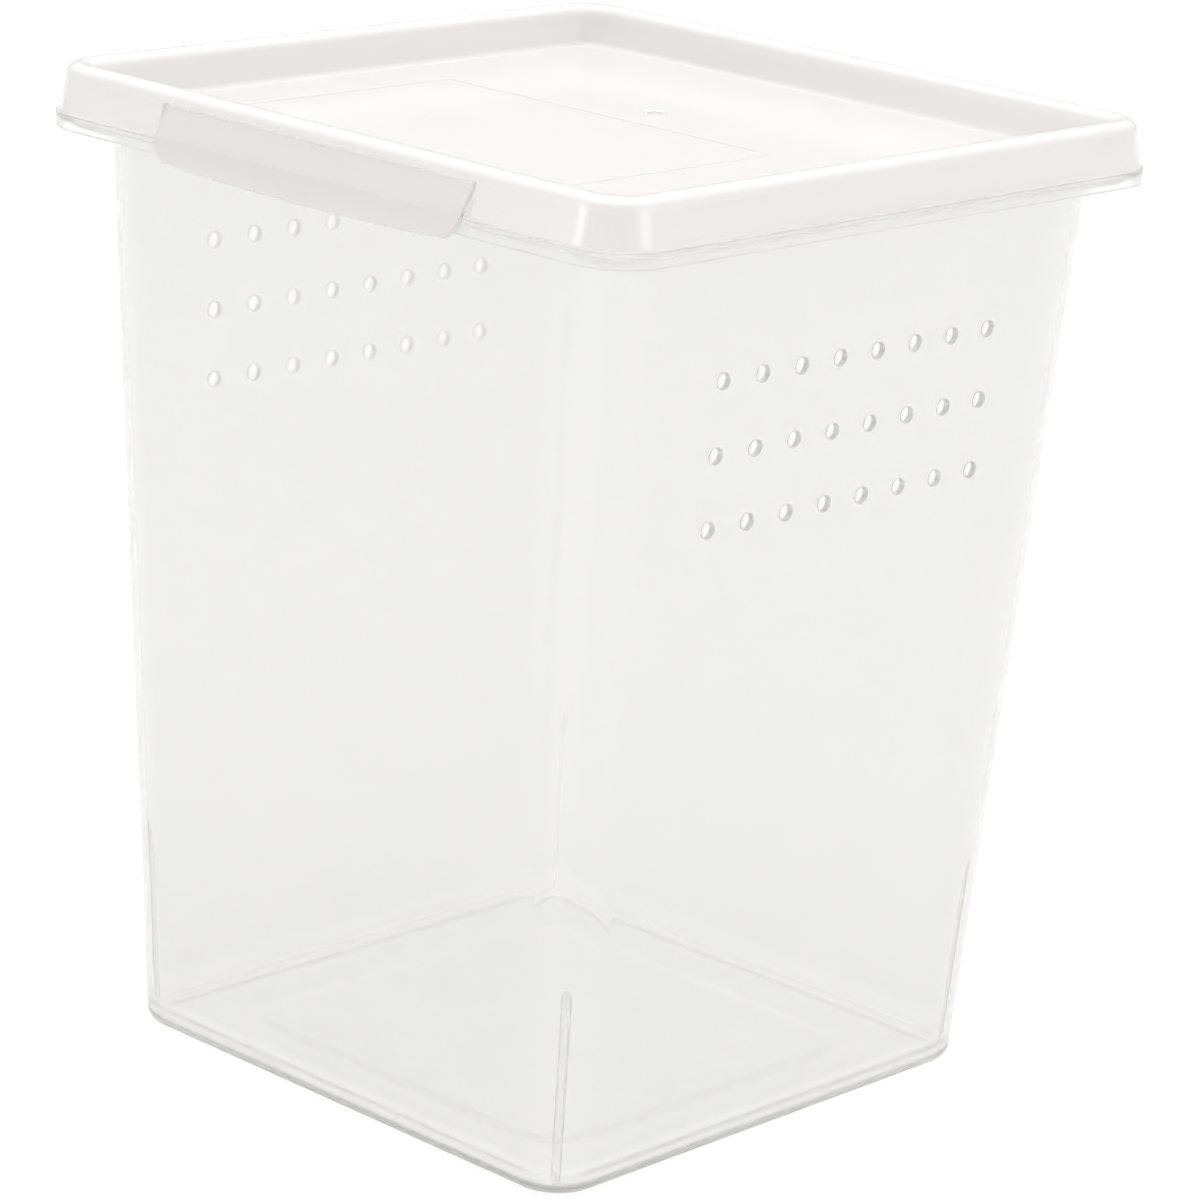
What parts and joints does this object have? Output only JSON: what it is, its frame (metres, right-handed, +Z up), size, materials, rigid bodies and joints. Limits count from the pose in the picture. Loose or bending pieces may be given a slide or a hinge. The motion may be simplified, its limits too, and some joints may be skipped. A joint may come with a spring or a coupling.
{
  "type": "plastic pet keeper",
  "caption": "Tall clear plastic pet keeper: square drafted tub with vent holes in two side walls and a recessed lift-off lid with a flexing pull tab.",
  "frame": {"origin": "middle of the flat underside of the tub, on the surface that the keeper stands on", "axes": "+Z up, -Y towards the side with the pull tab, +X and -X towards the two walls with vent holes"},
  "size_m": [0.195, 0.1969, 0.2449],
  "materials": {
    "tub_plastic": "clear, slightly milky polypropylene",
    "lid_plastic": "translucent white polypropylene",
    "tab_plastic": "translucent white polypropylene, a little greyer where it is bent"
  },
  "bodies": {
    "tub": {"tub": "tub_plastic"},
    "lid": {"lid": "lid_plastic"},
    "lid_tab": {"lid_tab": "tab_plastic"}
  },
  "joints": [
    {"name": "lid_lift", "type": "slide", "parent": "tub", "child": "lid", "axis": [0, 0, 1], "range_m": [0, 0.06]},
    {"name": "tab_flex", "type": "hinge", "parent": "lid", "child": "lid_tab", "pos_m": [0, -0.09406, 0.2406], "axis": [-1, 0, 0], "range_deg": [0, 25], "stiffness_Nm_per_rad": 0.15}
  ]
}
